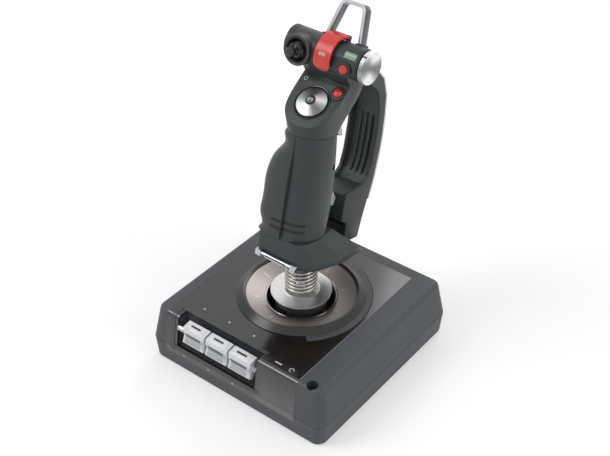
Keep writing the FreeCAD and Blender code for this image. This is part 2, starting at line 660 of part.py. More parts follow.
for side, sign in (("left", -1), ("right", 1)):
    shell = feature(f"grip_{side}_shell", grip_shell(side, sign))
    opened = cut(f"grip_{side}_solid", shell, *shell_openings(side))
    opened.Refine = False
    keep(f"grip_{side}", opened, HANDLE_FRAME)
board = box("grip_board_solid", ("-0.8", "-20", "Size.skirt_top + 38.2"), ("0.8", "-4", "Size.grip_top - 2"))
keep("grip_board", board, HANDLE_FRAME)

# ---------------------------------------------------------------- head
BARREL_Y = "Size.barrel_y"
BARREL_Z = "Size.barrel_z"
HEAD_SIDE = ((-36, "Size.head_floor"), (-36, 110), (-3, 143), (-9, 150), (-8, 164), (10, 164), (20, 152),
             (26, 150.5), (26, "Size.head_floor"))
HEAD_INSIDE = ((-31, "Size.head_floor - 1"), (-31, 107.5), (2.5, 141), (2.5, 158), (6, 158), (15, 150), (22, 148),
               (22, "Size.head_floor - 1"))
# each level is (height, half width, depth to the user, depth forward, squareness)
HEAD_LEVELS = ((0, 16.8, 22.8, 15, 2.3), (8, 18.2, 24, 17.5, 2.8), (16, 19.4, 24.5, 21.5, 3.4),
               (24, 20.2, 24.5, 26.5, 4.0), (33, 20.7, 24.5, 30.8, 4.4), (47, 20.7, 24.5, 31.2, 4.8),
               (62, 20.7, 24.5, 31.2, 4.8))


def head_form(inset, below):
    """The blended outside of the head's lower part, or the same form set in by its wall."""
    wires = []
    for rise, width, user, front, square in HEAD_LEVELS:
        level = size("head_floor") + rise - (below if rise == 0 else 0)
        reach = rounded_outline(width - inset, width - inset, user - inset, front - inset, square,
                                size("grip_centre"), others=square)
        wires.append(smooth_section(level, reach))
    return Part.makeLoft(wires, True)


head_body = common("head_body", feature("head_form", head_form(0, 0)),
                   pressed("head_sides", "YZ_Plane", HEAD_SIDE, "Size.head_width"))
head_hollow = common("head_hollow_space", feature("head_inside", head_form(size("grip_wall"), 1)),
                     pressed("head_inside_sides", "YZ_Plane", HEAD_INSIDE, "Size.head_width"))
barrel = cylinder("barrel", "Size.barrel_radius", "Size.barrel_left - 2 + Size.barrel_right",
                  ("-Size.barrel_left + 2", BARREL_Y, BARREL_Z), ALONG_X)
barrel_bore = cylinder("barrel_bore", "Size.barrel_radius - 2.6", "Size.barrel_left + Size.barrel_right - 4.4",
                       ("-Size.barrel_left + 1.9", BARREL_Y, BARREL_Z), ALONG_X)

LOOP_AT = (4.3, 5.4, 172.8)
LOOP_LEAN = 15.9
loop_frame = FreeCAD.Placement(vector(*LOOP_AT), turn(1, 0, 0, -LOOP_LEAN))
FOOT_HALF = "(Size.loop_foot_spacing / 2 + Size.loop_strip / 2 + 1.0)"

# places of the controls: (x, y, z) on the surface and the angle that leans each one up from the user
HAT_AT = (0.0, -18.5, 127.5)
HAT_LEAN = 45.0
LEFT_HAT_AT = (-21.6, -16.0, 160.0)
FIRE_A_AT = (19.5, -14.1, 158.0)
FIRE_B_AT = (15.0, -9.0, 137.0)
COVER_X = 1.5
LAUNCH_AT = (COVER_X, -13.4, 161.0)
TRIGGER_PIVOT = (0, 3.5, 108.0)
PIN_HALF = 9.5


def facing(place_at, lean):
    """A placement whose +Z points towards the user, leaning up by `lean` degrees."""
    return FreeCAD.Placement(vector(*place_at), turn(1, 0, 0, 90 - lean))


def control_bore(name, radius, depth, proud, place_at, lean):
    piece = doc.addObject("Part::Cylinder", name)
    bind(piece, Radius=radius, Height=f"({depth}) + ({proud})")
    level = float(depth)
    piece.Placement = facing(place_at, lean).multiply(FreeCAD.Placement(vector(0, 0, -level), UPRIGHT))
    return piece


hat_boss = control_bore("hat_boss", "Size.hat_radius + 2", "9", "0", HAT_AT, HAT_LEAN)
left_boss = control_bore("left_boss", "Size.hat_ring", "11", "0", LEFT_HAT_AT, 0)
HINGE_AXIS = ("Size.barrel_y + 3.0", "Size.barrel_z + 14.3")
LUGS = (COVER_X - 9.0, COVER_X + 7.0)
hinge_lugs = [cylinder(f"hinge_lug_{index}", "2.1", "2", (str(x), *HINGE_AXIS), ALONG_X)
              for index, x in enumerate(LUGS)]
lug_webs = [box(f"lug_web_{index}", (str(x), "Size.barrel_y + 1.2", "Size.barrel_z + 8"),
                (str(x + 2), "Size.barrel_y + 4.8", "Size.barrel_z + 13"))
            for index, x in enumerate(LUGS)]
hinge_hole = cylinder("hinge_hole", "1.0 + Size.running_gap", "24", (str(COVER_X - 12), *HINGE_AXIS), ALONG_X)
LED_ANGLE = 55.0
LED_ACROSS = 21.5
led_place = FreeCAD.Placement(vector(LED_ACROSS, size("barrel_y"), size("barrel_z")), turn(1, 0, 0, LED_ANGLE))
led_pocket = group("led_pocket", box("led_pocket_box", ("-5.05", "-2.45", "Size.barrel_radius - 1.45"),
                                     ("5.05", "2.45", "Size.barrel_radius + 2")))
led_pocket.Placement = led_place
head_solid = fuse("head_outside", head_body, barrel, hat_boss, left_boss, *hinge_lugs, *lug_webs)
socket_rooms = group("socket_rooms", *[box(f"socket_room_{index}", (f"{sign}({FOOT_HALF} - 1.3) - 2.45", "-5.45", "-4.65"),
                                           (f"{sign}({FOOT_HALF} - 1.3) + 2.45", "5.45", "8"))
                                       for index, sign in enumerate(("-", ""))])
socket_rooms.Placement = loop_frame
head_rooms = [
    socket_rooms,
    cylinder("trigger_pin_hole", "1.2 + Size.running_gap", str(2 * PIN_HALF + 2),
             (str(-PIN_HALF - 1), *[str(place) for place in TRIGGER_PIVOT[1:]]), ALONG_X),
    cut("head_hollow_kept", head_hollow,
        control_bore("hat_boss_room", "Size.hat_radius + 2", "9", "1", HAT_AT, HAT_LEAN)),
    barrel_bore,
    control_bore("hat_seat", "Size.hat_radius + 1", "3", "3", HAT_AT, HAT_LEAN),
    control_bore("hat_bore", "Size.rocker_outer + Size.fit_gap", "12", "1", HAT_AT, HAT_LEAN),
    control_bore("left_seat", "Size.hat_ring - 1.8", "4", "2", LEFT_HAT_AT, 0),
    control_bore("left_bore", "Size.rocker_outer + Size.fit_gap", "14", "1", LEFT_HAT_AT, 0),
    control_bore("launch_bore", "Size.button_radius + Size.fit_gap", "8", "2", LAUNCH_AT, 0),
    control_bore("fire_a_bore", "Size.button_collar - 1 + Size.running_gap", "8", "4", FIRE_A_AT, 0),
    control_bore("fire_b_bore", "Size.button_collar - 1 + Size.running_gap", "8", "4", FIRE_B_AT, HAT_LEAN),
    cylinder("knob_bore", "3 + Size.running_gap", "10", ("Size.barrel_right - 6", BARREL_Y, BARREL_Z), ALONG_X),
    box("head_trigger_slot", ("-5.2", "2", "Size.head_floor - 2"), ("5.2", "24", "Size.head_floor + 10")),
    hinge_hole,
    led_pocket,
]
keep("head_shell", cut("head_shell_solid", head_solid, *head_rooms), HANDLE_FRAME)
keep("barrel_cap", cylinder("barrel_cap_solid", "Size.barrel_radius", "1.95",
                            ("-Size.barrel_left", BARREL_Y, BARREL_Z), ALONG_X), HANDLE_FRAME)

# ---------------------------------------------------------------- controls on the head
def in_handle(placement):
    return HANDLE_FRAME.multiply(placement)


knob = turned("knob", (("0", "-7"), ("3", "-7"), ("3", "0.5"), ("Size.knob_radius", "0.5"),
                       ("Size.knob_radius", "Size.knob_thickness - 0.6"),
                       ("Size.knob_radius - 0.8", "Size.knob_thickness + 0.3"), ("0", "Size.knob_thickness + 0.3")))
knob_place = FreeCAD.Placement(vector(size("barrel_right"), size("barrel_y"), size("barrel_z")), ALONG_X)
keep("mode_knob", knob, in_handle(knob_place))


def arc_band(name, inner, outer, width, first, last, steps=9):
    """A band round the barrel between two angles, measured from forward, over the top, to the user."""
    angles = [math.radians(first + (last - first) * step / (steps - 1)) for step in range(steps)]
    ring = [(f"({outer}) * {math.cos(angle):.6f}", f"({outer}) * {math.sin(angle):.6f}") for angle in angles]
    ring += [(f"({inner}) * {math.cos(angle):.6f}", f"({inner}) * {math.sin(angle):.6f}") for angle in reversed(angles)]
    return pressed(name, "YZ_Plane", ring, width)


COVER_OUTER = "Size.barrel_radius + 2.4 + Size.cover_thickness"
cover_band = arc_band("cover_band", "Size.barrel_radius + 2.4", COVER_OUTER, "Size.cover_width", 84, 208)
cover_knuckle = cylinder("cover_knuckle", "2.1", "Size.cover_width", ("-Size.cover_width / 2", "3", "14.3"), ALONG_X)
cover_eye = cylinder("cover_eye", "1.0 + Size.running_gap", "Size.cover_width + 2",
                     ("-Size.cover_width / 2 - 1", "3", "14.3"), ALONG_X)
cover_place = FreeCAD.Placement(vector(COVER_X, size("barrel_y"), size("barrel_z")), UPRIGHT)
keep("safety_cover", cut("safety_cover_solid", fuse("cover_and_knuckle", cover_band, cover_knuckle), cover_eye),
     in_handle(cover_place))
keep("cover_pin", cylinder("cover_pin_solid", "1.0", "Size.cover_width + 5",
                           ("-Size.cover_width / 2 - 2.5", "3", "14.3"), ALONG_X), in_handle(cover_place))
launch = turned("launch", (("0", "-6"), ("Size.button_radius", "-6"), ("Size.button_radius", "0.9"), ("0", "1.4")))
keep("launch_button", launch, in_handle(facing(LAUNCH_AT, 0)))
for name, spot, lean in (("a", FIRE_A_AT, 0), ("b", FIRE_B_AT, HAT_LEAN)):
    button = turned(f"fire_{name}", (("0", "-5"), ("Size.button_radius", "-5"), ("Size.button_radius", "1.8"),
                                     ("Size.button_radius - 0.9", "2.9"), ("0", "3.2")))
    keep(f"fire_button_{name}", button, in_handle(facing(spot, lean)))
for name, spot, lean in (("a", FIRE_A_AT, 0), ("b", FIRE_B_AT, HAT_LEAN)):
    ring = turned(f"collar_{name}", (("Size.button_radius + Size.fit_gap", "-6"), ("Size.button_collar - 1", "-6"),
                                     ("Size.button_collar - 1", "0.2"), ("Size.button_collar", "0.2"),
                                     ("Size.button_collar", "0.9"), ("Size.button_radius + Size.fit_gap", "1.2")))
    keep(f"button_collar_{name}", ring, in_handle(facing(spot, lean)))
keep("mode_light", box("led", ("-5", "-2.4", "Size.barrel_radius - 1.4"), ("5", "2.4", "Size.barrel_radius + 0.3")),
     in_handle(led_place))

hat_ring = turned("hat_ring", (("Size.rocker_outer + Size.fit_gap", "-3.8"), ("Size.hat_ring - 2", "-3.8"),
                               ("Size.hat_ring - 2", "0.1"), ("Size.hat_ring", "0.1"), ("Size.hat_ring", "0.8"),
                               ("Size.hat_ring - 2.6", "0.8"), ("Size.rocker_outer + Size.fit_gap", "-2.8")))
keep("left_hat_ring", hat_ring, in_handle(facing(LEFT_HAT_AT, 0)))
LEFT_ROCKER_DEPTH = -6.0
RIGHT_ROCKER_DEPTH = -5.5
ROCKER = (("Size.rocker_bore", "-Size.rocker_half"), ("Size.rocker_outer", "-Size.rocker_half"),
          ("Size.rocker_outer", "Size.rocker_half"), ("Size.rocker_bore", "Size.rocker_half"))
for side, spot, lean, depth in (("left", LEFT_HAT_AT, 0, LEFT_ROCKER_DEPTH),
                                ("right", HAT_AT, HAT_LEAN, RIGHT_ROCKER_DEPTH)):
    rocker = turned(f"{side}_rocker", ROCKER)
    keep(f"{side}_hat_rocker", rocker, in_handle(facing(spot, lean).multiply(
        FreeCAD.Placement(vector(0, 0, depth), UPRIGHT))))
LEFT_STEM_END = f"{LEFT_ROCKER_DEPTH} - 1.3"
left_cap = turned("left_cap", (("0", LEFT_STEM_END), ("Size.stem_radius", LEFT_STEM_END),
                               ("Size.stem_radius", "-1"), ("Size.hat_ring - 5.5", "0.4"), ("Size.hat_ring - 7", "2"),
                               ("2.2", "3.4"), ("2.2", "5.2"), ("3.6", "6.2"), ("3.6", "8.6"), ("2.6", "9.6"),
                               ("0", "9.6")))
keep("left_hat", left_cap, in_handle(facing(LEFT_HAT_AT, 0)))
RIGHT_STEM_END = f"{RIGHT_ROCKER_DEPTH} - 1.3"
right_cap = turned("right_cap", (("0", RIGHT_STEM_END), ("Size.stem_radius", RIGHT_STEM_END),
                                 ("Size.stem_radius", "-1.4"), ("Size.hat_radius - 1", "-0.6"),
                                 ("Size.hat_radius", "0.4"), ("Size.hat_radius - 0.8", "1.2"), ("4.6", "3.4"),
                                 ("3.4", "4.6"), ("2.6", "6.2"), ("0", "6.6")))
keep("right_hat", right_cap, in_handle(facing(HAT_AT, HAT_LEAN)))

# ---------------------------------------------------------------- loop guard on top
TOP_HALF = "(Size.loop_foot_spacing / 2 - 2.4)"
loop_outer = pressed("loop_outer", "XZ_Plane",
                     ((f"-{FOOT_HALF}", "0"), (FOOT_HALF, "0"), (TOP_HALF, "Size.loop_rise - 3"),
                      (f"{TOP_HALF} - 3", "Size.loop_rise"), (f"3 - {TOP_HALF}", "Size.loop_rise"),
                      (f"-{TOP_HALF}", "Size.loop_rise - 3")), "Size.loop_depth")
INSIDE_FOOT = f"({FOOT_HALF} - Size.loop_strip)"
INSIDE_TOP = f"({TOP_HALF} - Size.loop_strip)"
loop_inner = pressed("loop_inner", "XZ_Plane",
                     ((f"-{INSIDE_FOOT}", "-1"), (INSIDE_FOOT, "-1"), (INSIDE_TOP, "Size.loop_rise - 4"),
                      (f"{INSIDE_TOP} - 2", "Size.loop_rise - Size.loop_strip"),
                      (f"2 - {INSIDE_TOP}", "Size.loop_rise - Size.loop_strip"),
                      (f"-{INSIDE_TOP}", "Size.loop_rise - 4")), "Size.loop_depth + 2")
keep("loop_guard", cut("loop_guard_solid", loop_outer, loop_inner), in_handle(loop_frame))
sockets = [box(f"loop_socket_{index}", (f"{sign}({FOOT_HALF} - 1.3) - 2.4", "-5.4", "-4.6"),
               (f"{sign}({FOOT_HALF} - 1.3) + 2.4", "5.4", "-0.02"))
           for index, sign in enumerate(("-", ""))]
keep("loop_sockets", group("loop_sockets_group", *sockets), in_handle(loop_frame))

# ---------------------------------------------------------------- triggers and lock lever
PINKIE_PIVOT = (0, 7.5, 53.0)
TRIGGER_SIDE = ((-3, -2), (-2, 3), (5, 3), (12, -2), (17, -8), (18.5, -14), (15, -13.5), (10.5, -9), (3, -5))
PINKIE_SIDE = ((-3, -3), (-2, 3), (6, 2), (13, -4), (18, -12), (16, -18), (12.5, -17), (10, -10), (3, -4))
PADDLE_SIDE = ((12, -4), (18, -12), (16, -18), (12.5, -17))
LEVERS = (("trigger", TRIGGER_PIVOT, TRIGGER_SIDE, TRIGGER_SIDE[3:8], "10", PIN_HALF),
          ("pinkie_switch", PINKIE_PIVOT, PINKIE_SIDE, PADDLE_SIDE, "14", 8))
for name, pivot, profile, paddle, paddle_width, half in LEVERS:
    lever = fuse(f"{name}_blade", pressed(f"{name}_lever", "YZ_Plane", profile, "8.4"),
                 pressed(f"{name}_paddle", "YZ_Plane", paddle, paddle_width))
    eye = cylinder(f"{name}_eye", "1.2 + Size.running_gap", "12", ("-6", "0", "0"), ALONG_X)
    pivot_place = FreeCAD.Placement(vector(*pivot), UPRIGHT)
    keep(name, cut(f"{name}_solid", lever, eye), in_handle(pivot_place))
    keep(f"{name}_pin", cylinder(f"{name}_pin_solid", "1.2", str(2 * half), (str(-half), "0", "0"), ALONG_X),
         in_handle(pivot_place))

# height lock across the user's edge of the foot: two fixed blocks and a turning bar
LOCK_BLOCKS = ((-19.2, -14.2), (14.2, 19.2))
blocks = [box(f"lock_block_{index}", (str(low), "-34.6", "0"), (str(high), "-31.02", "Size.foot_plate"))
          for index, (low, high) in enumerate(LOCK_BLOCKS)]
LOCK_PIVOT = (0, -32.8, 2.4)
lock_bore = cylinder("lock_bore", "0.9 + Size.running_gap", "34",
                     ("-17", *[str(place) for place in LOCK_PIVOT[1:]]), ALONG_X)
keep("lock_blocks", cut("lock_blocks_solid", fuse("lock_block_pair", *blocks), lock_bore), HANDLE_FRAME)
lock_bar = fuse("lock_bar", cylinder("lock_rod", "1.5", "28", ("-14", "0", "0"), ALONG_X),
                cylinder("lock_journal", "0.9", "33", ("-16.5", "0", "0"), ALONG_X),
                box("lock_tab", ("-9", "-3.4", "-0.5"), ("9", "0", "0.5")))
keep("lock_lever", lock_bar, in_handle(FreeCAD.Placement(vector(*LOCK_PIVOT), UPRIGHT)))
grip_screw = fuse("grip_screw_solid", cylinder("grip_screw_head", "2.0", "1.6", ("12.5", *SCREW_SPOT), ALONG_X),
                  cylinder("grip_screw_shank", "1.2", "14", ("-1", *SCREW_SPOT), ALONG_X))
keep("grip_screw", grip_screw, HANDLE_FRAME)

# ---------------------------------------------------------------- finish
doc.recompute()
for item in doc.Objects:
    for fault in ("Invalid", "Error"):
        if fault in item.State:
            raise RuntimeError(f"{item.Label} is {fault}")
os.makedirs("parts", exist_ok=True)
for piece in SUB_PARTS:
    if piece.Shape.isNull() or not piece.Shape.isValid():
        raise RuntimeError(f"{piece.Label} has no sound shape")
    piece.Shape.exportStep(f"parts/{piece.Label}.step")
print(len(SUB_PARTS), "sub-parts written")
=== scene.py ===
import itertools
import json
import math

import bmesh
import bpy
from mathutils import Matrix, Vector


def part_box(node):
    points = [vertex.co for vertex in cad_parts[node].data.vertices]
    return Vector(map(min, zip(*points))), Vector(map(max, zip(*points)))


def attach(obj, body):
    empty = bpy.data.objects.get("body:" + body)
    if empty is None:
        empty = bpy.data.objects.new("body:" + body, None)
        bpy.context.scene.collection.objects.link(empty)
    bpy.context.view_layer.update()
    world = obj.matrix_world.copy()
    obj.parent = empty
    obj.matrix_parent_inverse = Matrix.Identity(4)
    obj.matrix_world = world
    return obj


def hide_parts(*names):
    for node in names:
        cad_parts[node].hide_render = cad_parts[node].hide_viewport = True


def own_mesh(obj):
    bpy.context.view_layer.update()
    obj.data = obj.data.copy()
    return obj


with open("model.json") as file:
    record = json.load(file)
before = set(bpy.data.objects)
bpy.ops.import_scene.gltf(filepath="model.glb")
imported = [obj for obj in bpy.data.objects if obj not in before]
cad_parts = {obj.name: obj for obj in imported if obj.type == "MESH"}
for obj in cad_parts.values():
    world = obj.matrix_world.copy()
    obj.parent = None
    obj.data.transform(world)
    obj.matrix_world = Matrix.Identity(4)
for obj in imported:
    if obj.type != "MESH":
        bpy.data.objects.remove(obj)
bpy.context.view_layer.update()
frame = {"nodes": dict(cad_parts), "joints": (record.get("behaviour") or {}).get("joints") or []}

MM = 0.001
NODES = frame["nodes"]


# ---------------------------------------------------------------- materials
def linear(hex_colour):
    """An sRGB hex colour as linear RGBA."""
    values = [int(hex_colour[place:place + 2], 16) / 255 for place in (1, 3, 5)]
    return [v / 12.92 if v <= 0.04045 else ((v + 0.055) / 1.055) ** 2.4 for v in values] + [1.0]


def fill(tree, node, inputs):
    """Feeds a node's inputs, named or numbered, from sockets or plain values."""
    for name, value in inputs.items():
        if isinstance(value, bpy.types.NodeSocket):
            tree.links.new(value, node.inputs[name])
        else:
            node.inputs[name].default_value = value


def add(tree, kind, inputs=(), **settings):
    """Adds a node: settings are its properties, inputs its values or the sockets that feed it."""
    made = tree.nodes.new(kind)
    for name, value in settings.items():
        setattr(made, name, value)
    fill(tree, made, dict(inputs))
    return made


def material(name, **values):
    """A material with one Principled shader whose plain values are set on its own sockets."""
    made = bpy.data.materials.new(name)
    made.use_nodes = True
    tree = made.node_tree
    tree.nodes.clear()
    shader = add(tree, "ShaderNodeBsdfPrincipled", values)
    add(tree, "ShaderNodeOutputMaterial", {"Surface": shader.outputs[0]})
    made.diffuse_color = values.get("Base Color", (0.5, 0.5, 0.5, 1.0))
    return made, tree, shader


def object_place(tree):
    return add(tree, "ShaderNodeTexCoord").outputs["Object"]


def grain(tree, spacing, detail=2.0, stretch=None):
    """Noise whose lumps are `spacing` millimetres across, read on Object coordinates."""
    place = object_place(tree)
    if stretch is not None:
        place = add(tree, "ShaderNodeMapping", {"Vector": place, "Scale": stretch}).outputs[0]
    scale = 1 / (spacing * MM)
    return add(tree, "ShaderNodeTexNoise", {"Vector": place, "Scale": scale, "Detail": detail}).outputs["Fac"]


def span(tree, value, low, high):
    """Maps a 0 to 1 value onto low to high."""
    return add(tree, "ShaderNodeMapRange", {"Value": value, "To Min": low, "To Max": high}).outputs[0]


def between(tree, value, start, end):
    """0 at `start`, rising to 1 at `end`."""
    return add(tree, "ShaderNodeMapRange", {"Value": value, "From Min": start, "From Max": end}).outputs[0]


def mix(tree, share, first, second, blend_type="MIX"):
    """Two colours mixed."""
    made = add(tree, "ShaderNodeMix", data_type="RGBA", blend_type=blend_type)
    fill(tree, made, {0: share, 6: first, 7: second})
    return made.outputs[2]


def tint(tree, value, *stops):
    """A colour ramp through (place, hex colour) stops."""
    ramp = add(tree, "ShaderNodeValToRGB", {"Fac": value})
    elements = ramp.color_ramp.elements
    while len(elements) < len(stops):
        elements.new(0.5)
    for element, (place, colour) in zip(elements, stops):
        element.position = place
        element.color = linear(colour)
    return ramp.outputs["Color"]


def join(tree, socket, shader, name):
    tree.links.new(socket, shader.inputs[name])


def bump(tree, shader, height, depth, strength=1.0):
    """Relief `depth` millimetres deep from a 0 to 1 height."""
    made = add(tree, "ShaderNodeBump", {"Height": height, "Distance": depth * MM, "Strength": strength})
    join(tree, made.outputs[0], shader, "Normal")


def textured_abs():
    """Moulded ABS with a spark-eroded texture: an even, soft blue-grey sheen with no reflections."""
    made, tree, shader = material("textured_abs", Roughness=0.52, IOR=1.53)
    fine = grain(tree, 0.9, 3.0)
    join(tree, tint(tree, grain(tree, 40), (0.3, "#3f4246"), (0.7, "#474a4f")), shader, "Base Color")
    join(tree, span(tree, fine, 0.44, 0.6), shader, "Roughness")
    bump(tree, shader, fine, 0.06, 0.5)
    return made


def piano_black():
    """High-gloss black polycarbonate under a clear coat, with a painted reflection: its front lip right of
    the bay is coloured a lighter grey.
    """
    made, tree, shader = material("piano_black_polycarbonate", IOR=1.58)
    shader.inputs["Coat Weight"].default_value = 0.4
    shader.inputs["Coat Roughness"].default_value = 0.1
    haze = grain(tree, 30, 3.0)
    place = add(tree, "ShaderNodeSeparateXYZ", {"Vector": object_place(tree)}).outputs
    # painted reflection: the front face right of the bay is mixed towards a lighter grey, standing in for the
    # bright floor it mirrors
    front = between(tree, place["Y"], -83.0 * MM, -86.0 * MM)
    right = between(tree, place["X"], 18.0 * MM, 30.0 * MM)
    lip = add(tree, "ShaderNodeMath", {0: front, 1: right}, operation="MULTIPLY").outputs[0]
    dark = tint(tree, haze, (0.3, "#1b1817"), (0.7, "#24201f"))
    light = tint(tree, haze, (0.3, "#4b4a4a"), (0.7, "#565554"))
    join(tree, mix(tree, lip, dark, light), shader, "Base Color")
    join(tree, span(tree, haze, 0.1, 0.22), shader, "Roughness")
    bump(tree, shader, grain(tree, 18, 1.0), 0.02, 0.3)
    return made


def shade(colour, share):
    """A hex colour made lighter or darker by a share."""
    values = [min(round(int(colour[place:place + 2], 16) * share), 255) for place in (1, 3, 5)]
    return "#" + "".join(f"{value:02x}" for value in values)


def plain(name, colour, roughness):
    """A plainly coloured plastic, print or rubber: a fine even texture and a faint cloud in its colour."""
    made, tree, shader = material(name, Roughness=roughness, IOR=1.53)
    fine = grain(tree, 0.7, 3.0)
    join(tree, tint(tree, grain(tree, 9), (0.3, shade(colour, 0.93)), (0.7, shade(colour, 1.07))), shader,
         "Base Color")
    join(tree, span(tree, fine, roughness - 0.06, roughness + 0.08), shader, "Roughness")
    bump(tree, shader, fine, 0.04, 0.4)
    return made


def soft_touch():
    """Soft-touch rubber paint over ABS: charcoal with a powdery sheen at grazing angles."""
    made, tree, shader = material("soft_touch_paint", Roughness=0.5, IOR=1.48)
    shader.inputs["Sheen Weight"].default_value = 0.12
    shader.inputs["Sheen Roughness"].default_value = 0.45
    fine = grain(tree, 0.5, 2.0)
    join(tree, tint(tree, grain(tree, 25), (0.3, "#2b2f30"), (0.7, "#313637")), shader, "Base Color")
    join(tree, span(tree, fine, 0.42, 0.54), shader, "Roughness")
    bump(tree, shader, fine, 0.03, 0.35)
    return made


def metal(name, colour, roughness, spacing, stretch=None, depth=0.02, spread=0.08):
    """A bare metal whose surface marks are `spacing` millimetres apart."""
    made, tree, shader = material(name, Metallic=1.0, Roughness=roughness)
    marks = grain(tree, spacing, 3.0, stretch)
    clouded = tint(tree, marks, (0.3, shade(colour, 0.95)), (0.7, shade(colour, 1.03)))
    join(tree, clouded, shader, "Base Color")
    join(tree, span(tree, marks, roughness - spread, roughness + spread), shader, "Roughness")
    bump(tree, shader, marks, depth, 0.4)
    return made


def turned_metal(name, colour, centre, axis, painted_fan_direction):
    """Metal faced on a lathe: fine rings about an axis through `centre`, with painted highlights: its colour
    is lighter in two fans along a given direction and darker across them.
    """
    made, tree, shader = material(name, Metallic=1.0, Anisotropic=0.9)
    offset = add(tree, "ShaderNodeVectorMath", {0: object_place(tree), 1: centre * MM}, operation="SUBTRACT")
    around = add(tree, "ShaderNodeVectorMath", {0: axis, 1: offset.outputs[0]}, operation="CROSS_PRODUCT")
    turned = add(tree, "ShaderNodeVectorTransform", {"Vector": around.outputs[0]}, vector_type="VECTOR",
                 convert_from="OBJECT", convert_to="WORLD")
    join(tree, turned.outputs[0], shader, "Tangent")
    radius = add(tree, "ShaderNodeVectorMath", {0: offset.outputs[0]}, operation="LENGTH").outputs["Value"]
    spoke = add(tree, "ShaderNodeVectorMath", {0: offset.outputs[0]}, operation="NORMALIZE").outputs[0]
    # painted highlight: the colour is lightened to 1.4 times in two opposite fans along the given direction
    # and darkened to 0.72 across them
    along = add(tree, "ShaderNodeVectorMath", {0: spoke, 1: painted_fan_direction}, operation="DOT_PRODUCT").outputs["Value"]
    painted_fan_share = add(tree, "ShaderNodeMath", {0: along}, operation="ABSOLUTE").outputs[0]
    rings = add(tree, "ShaderNodeTexNoise", {"W": radius, "Scale": 1 / (0.35 * MM)},
                noise_dimensions="1D").outputs["Fac"]
    bright = tint(tree, painted_fan_share, (0.2, shade(colour, 0.72)), (0.55, colour), (0.8, shade(colour, 1.4)))
    ringed = tint(tree, rings, (0.3, "#e4e4e4"), (0.7, "#ffffff"))
    join(tree, mix(tree, 1.0, bright, ringed, "MULTIPLY"), shader, "Base Color")
    join(tree, span(tree, rings, 0.24, 0.38), shader, "Roughness")
    return made


def loop_chrome():
    """Chromed strip with painted shade: faces turned along object X are coloured darker than the front and
    back faces, which keep a bright chrome grey.
    """
    made, tree, shader = material("chromed_strip_steel", Metallic=1.0, Roughness=0.2)
    # painted shade: the further a face turns along object X, the darker its colour
    across = add(tree, "ShaderNodeSeparateXYZ", {"Vector": add(tree, "ShaderNodeTexCoord").outputs["Normal"]})
    side = add(tree, "ShaderNodeMath", {0: across.outputs["X"]}, operation="ABSOLUTE").outputs[0]
    marks = grain(tree, 3.0)
    join(tree, tint(tree, side, (0.25, "#bcbfc2"), (0.75, "#606367")), shader, "Base Color")
    join(tree, span(tree, marks, 0.14, 0.26), shader, "Roughness")
    return made


def silver_lacquer():
    """Silver metallic lacquer on ABS: fine flake, satin, less mirror-like than metal."""
    made, tree, shader = material("silver_metallic_lacquer", Metallic=0.45, Roughness=0.3)
    flake = grain(tree, 0.35, 1.0)
    join(tree, tint(tree, flake, (0.35, "#d2d4d6"), (0.65, "#e6e7e8")), shader, "Base Color")
    join(tree, span(tree, flake, 0.28, 0.42), shader, "Roughness")
    return made


def glossy_red(name, colour, dark, roughness):
    """Dyed polycarbonate, moulded glossy."""
    made, tree, shader = material(name, Roughness=roughness, IOR=1.58)
    cloud = grain(tree, 12)
    join(tree, tint(tree, cloud, (0.3, dark), (0.7, colour)), shader, "Base Color")
    join(tree, span(tree, grain(tree, 0.8), roughness - 0.05, roughness + 0.08), shader, "Roughness")
    return made


def green_window():
    """A clear green polycarbonate window lit from behind in bars about 2.2 mm apart."""
    # a wave of scale 1 runs through 20 radians in a metre
    bars = 1 / (1.1 * MM) / math.tau
    made, tree, shader = material("green_lit_window", Roughness=0.15, IOR=1.58)
    join(tree, tint(tree, grain(tree, 3), (0.3, "#0e3a1e"), (0.7, "#154a28")), shader, "Base Color")
    wave = add(tree, "ShaderNodeTexWave", {"Vector": object_place(tree), "Scale": bars},
               bands_direction="Z").outputs["Fac"]
    join(tree, tint(tree, wave, (0.55, "#0a2f18"), (0.9, "#58d680")), shader, "Emission Color")
    shader.inputs["Emission Strength"].default_value = 0.4
    return made


def solder_mask():
    """Green solder mask over a fibreglass circuit board."""
    made, tree, shader = material("solder_mask_board", Roughness=0.4, IOR=1.5)
    join(tree, tint(tree, grain(tree, 2), (0.48, "#1c5a34"), (0.52, "#256b40")), shader, "Base Color")
    return made


# moulded casings and paint: textured faces take a soft sheen, polished ones a small sharp highlight
TEXTURED_ABS = textured_abs()
PIANO_BLACK = piano_black()
SATIN_BLACK = plain("polished_black_abs", "#121314", 0.2)
MATT_BLACK = plain("matt_black_abs", "#1c1e1f", 0.5)
SOFT_TOUCH = soft_touch()
HAT_BLACK = plain("hat_black_nylon", "#141516", 0.42)
RUBBER = plain("foot_rubber", "#222222", 0.7)
# turned, brushed and plated metal: the finer the marks, the tighter the shine
ANODISED = metal("spun_anodised_aluminium", "#8d8683", 0.34, 0.5)
BRUSHED = metal("brushed_aluminium", "#c3c4c6", 0.28, 0.4, (1.0, 12.0, 12.0))
SILVER = silver_lacquer()
LOOP_CHROME = loop_chrome()
SATIN_STEEL = metal("satin_turned_steel", "#dcdddf", 0.34, 0.5, (1.0, 1.0, 6.0))
CHROME = metal("polished_chrome_plate", "#b6b9bd", 0.1, 6.0, depth=0.005, spread=0.04)
SPRING_STEEL = metal("oiled_spring_steel", "#b9b6b0", 0.24, 0.6)
SCREW_STEEL = metal("black_oxide_steel", "#3b3c3f", 0.4, 0.4)
BALLAST_STEEL = metal("hot_rolled_steel", "#6b6e72", 0.5, 3.0)
DIE_CAST = metal("zinc_die_casting", "#8f9295", 0.45, 1.2)
BRASS = metal("turned_brass", "#c9a35a", 0.3, 0.5)
